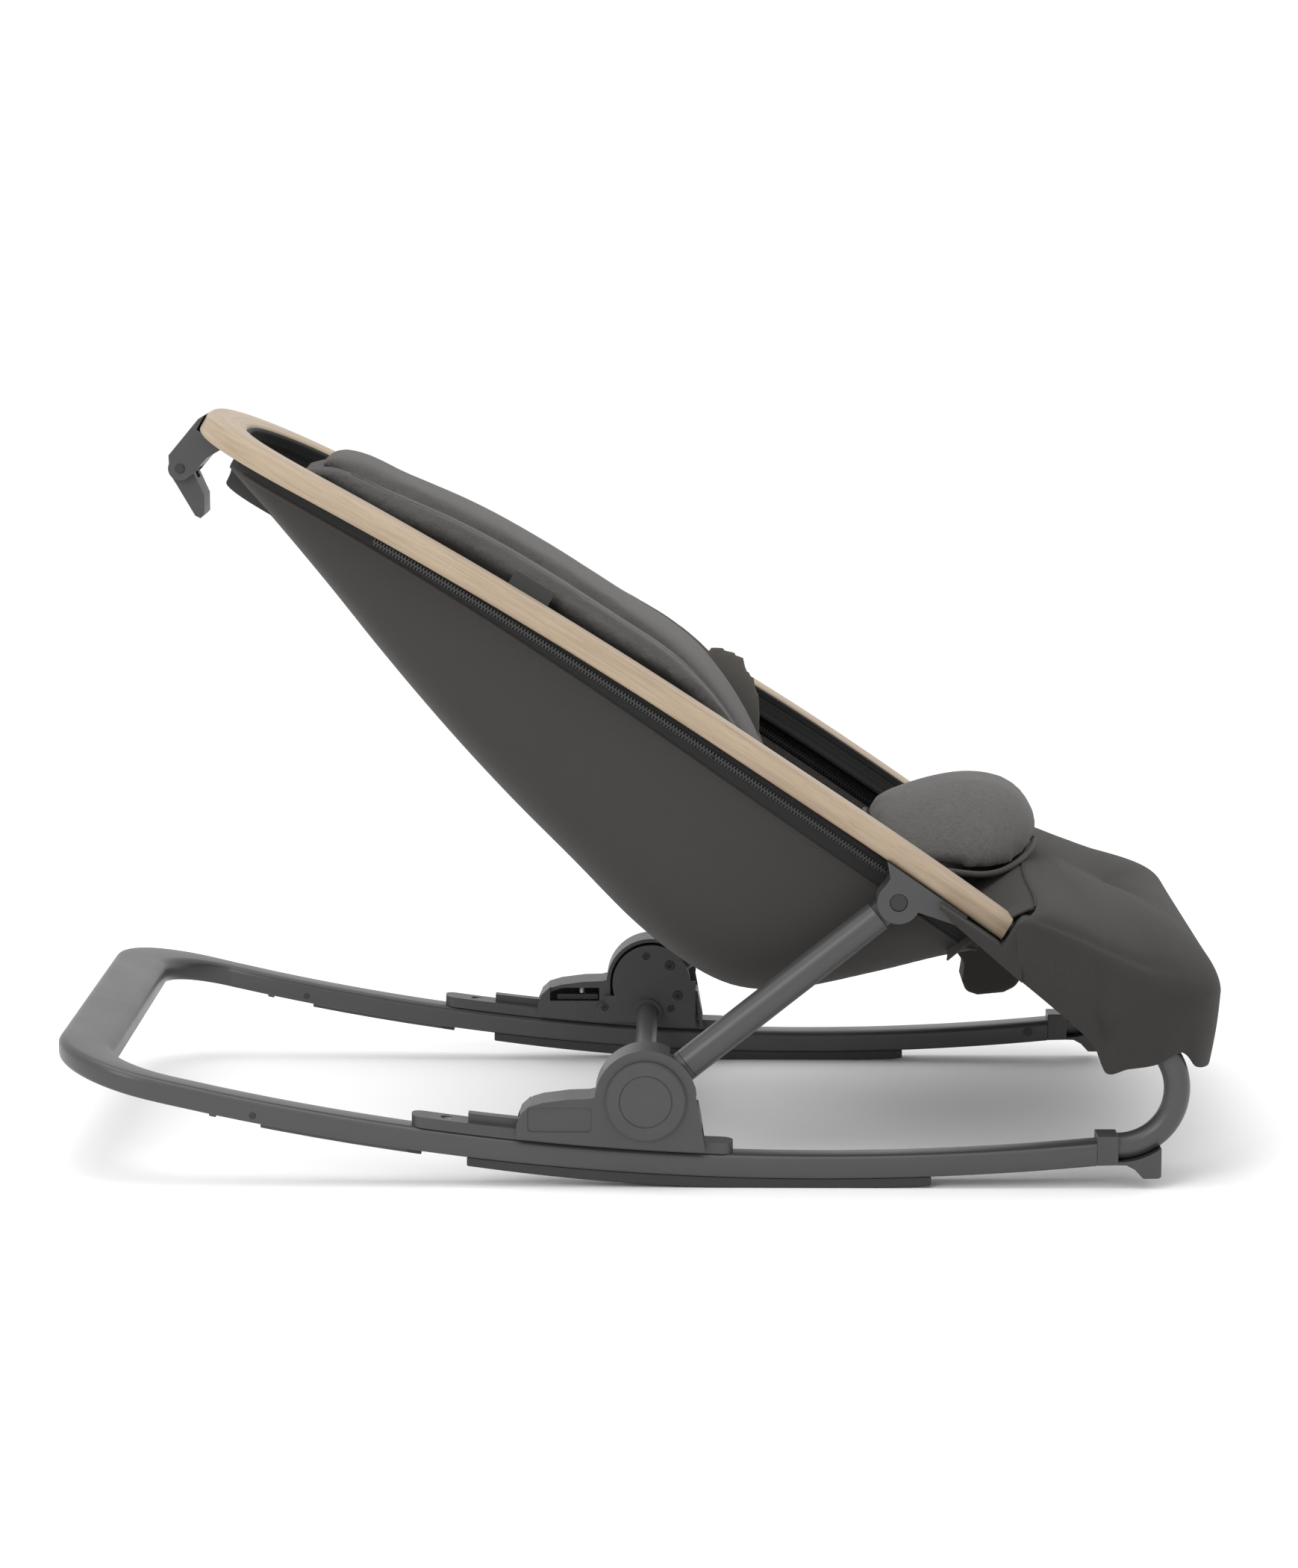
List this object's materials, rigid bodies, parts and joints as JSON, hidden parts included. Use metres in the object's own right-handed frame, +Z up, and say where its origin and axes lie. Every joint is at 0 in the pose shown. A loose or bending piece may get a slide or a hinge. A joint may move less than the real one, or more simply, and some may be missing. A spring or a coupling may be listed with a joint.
{
  "type": "baby bouncer seat",
  "caption": "Rocking baby bouncer: wooden-framed fabric seat on two struts and a sliding carriage, folding flat onto a curved rocker base.",
  "frame": {"origin": "middle of the footprint, on the floor", "axes": "+X to the foot end, +Y to the occupant's left, +Z up"},
  "size_m": [0.85, 0.466, 0.5473],
  "materials": {
    "grey_frame": "satin moulded plastic",
    "grey_tube": "satin powder coat",
    "black_rubber": "matt rubber",
    "steel": "plain steel",
    "black_screws": "blackened steel",
    "oak": "clear matt lacquer",
    "dark_fabric": "plain weave",
    "grey_jersey": "melange jersey",
    "label_fabric": "woven tab, blank"
  },
  "bodies": {
    "base": {"base_frame": "grey_frame", "connector_right": "grey_frame", "connector_left": "grey_frame", "front_arm_right": "grey_tube", "front_arm_left": "grey_tube", "front_cross_tube": "grey_tube", "rocker_pad_right": "black_rubber", "rocker_pad_left": "black_rubber", "track_right": "grey_frame", "track_left": "grey_frame", "track_screws": "steel", "connector_screws": "black_screws", "leg_bolts": "black_screws", "leg_stops": "grey_frame"},
    "seat": {"wood_frame": "oak", "seat_front_tube": "grey_tube", "seat_hinge_right": "grey_frame", "seat_hinge_left": "grey_frame", "seat_bracket_right": "grey_frame", "seat_bracket_left": "grey_frame", "bracket_pins": "black_screws", "head_bracket": "grey_frame", "clip_pin": "black_screws", "clip_spring": "steel", "hammock_shell": "dark_fabric", "seat_liner": "grey_jersey", "crotch_pad": "grey_jersey", "waist_belt": "dark_fabric", "front_apron": "dark_fabric", "side_label": "label_fabric", "belt_anchor": "dark_fabric"},
    "struts": {"strut_tube_right": "grey_tube", "strut_tube_left": "grey_tube", "strut_foot_right": "grey_frame", "strut_foot_left": "grey_frame", "strut_head_right": "grey_frame", "strut_head_left": "grey_frame"},
    "carriage": {"housing_right": "grey_frame", "housing_left": "grey_frame", "inner_cover_right": "grey_frame", "inner_cover_left": "grey_frame", "hub_cap_right": "grey_frame", "hub_cap_left": "grey_frame", "hub_pins": "steel", "crossbar": "grey_tube", "cover_screws": "black_screws", "cover_bolts": "black_screws", "trigger_spring_right": "steel", "trigger_spring_left": "steel"},
    "trigger_right": {"trigger_right": "black_rubber"},
    "trigger_left": {"trigger_left": "black_rubber"},
    "clip": {"fold_clip": "grey_frame"},
    "leg_right": {"leg_right": "grey_frame", "leg_tip_right": "black_rubber"},
    "leg_left": {"leg_left": "grey_frame", "leg_tip_left": "black_rubber"}
  },
  "joints": [
    {"name": "seat_fold", "type": "hinge", "parent": "base", "child": "seat", "pos_m": [0.345, 0, 0.1145], "axis": [0, -1, 0], "range_deg": [0, 28.5], "deforming": ["hammock_shell"]},
    {"name": "strut_swing", "type": "hinge", "parent": "seat", "child": "struts", "pos_m": [0.18842, 0, 0.20706], "axis": [0, -1, 0], "range_deg": [-54.58, 0]},
    {"name": "carriage_level", "type": "hinge", "parent": "struts", "child": "carriage", "pos_m": [0.0072, 0, 0.06547], "axis": [0, -1, 0], "range_deg": [0, 24.18]},
    {"name": "trigger_right_pull", "type": "slide", "parent": "carriage", "child": "trigger_right", "axis": [0, 0, 1], "range_m": [0, 0.003], "stiffness_N_per_m": 400, "springref_m": -0.002, "deforming": ["trigger_spring_right"]},
    {"name": "trigger_left_pull", "type": "slide", "parent": "carriage", "child": "trigger_left", "axis": [0, 0, 1], "range_m": [0, 0.003], "stiffness_N_per_m": 400, "springref_m": -0.002, "deforming": ["trigger_spring_left"]},
    {"name": "clip_pull", "type": "hinge", "parent": "seat", "child": "clip", "pos_m": [-0.3447, 0, 0.5035], "axis": [0, 1, 0], "range_deg": [0, 28], "stiffness_Nm_per_rad": 0.2, "springref_deg": -17.19},
    {"name": "leg_right_open", "type": "hinge", "parent": "base", "child": "leg_right", "pos_m": [-0.276, 0, 0.05297], "axis": [0, 1, 0], "range_deg": [0, 145.5]},
    {"name": "leg_left_open", "type": "hinge", "parent": "base", "child": "leg_left", "pos_m": [-0.276, 0, 0.05297], "axis": [0, 1, 0], "range_deg": [0, 145.5]}
  ],
  "couplings": [
    {"joint": "strut_swing", "follows": "seat_fold", "ratio": -1.8975},
    {"joint": "carriage_level", "follows": "seat_fold", "ratio": 0.83082}
  ]
}
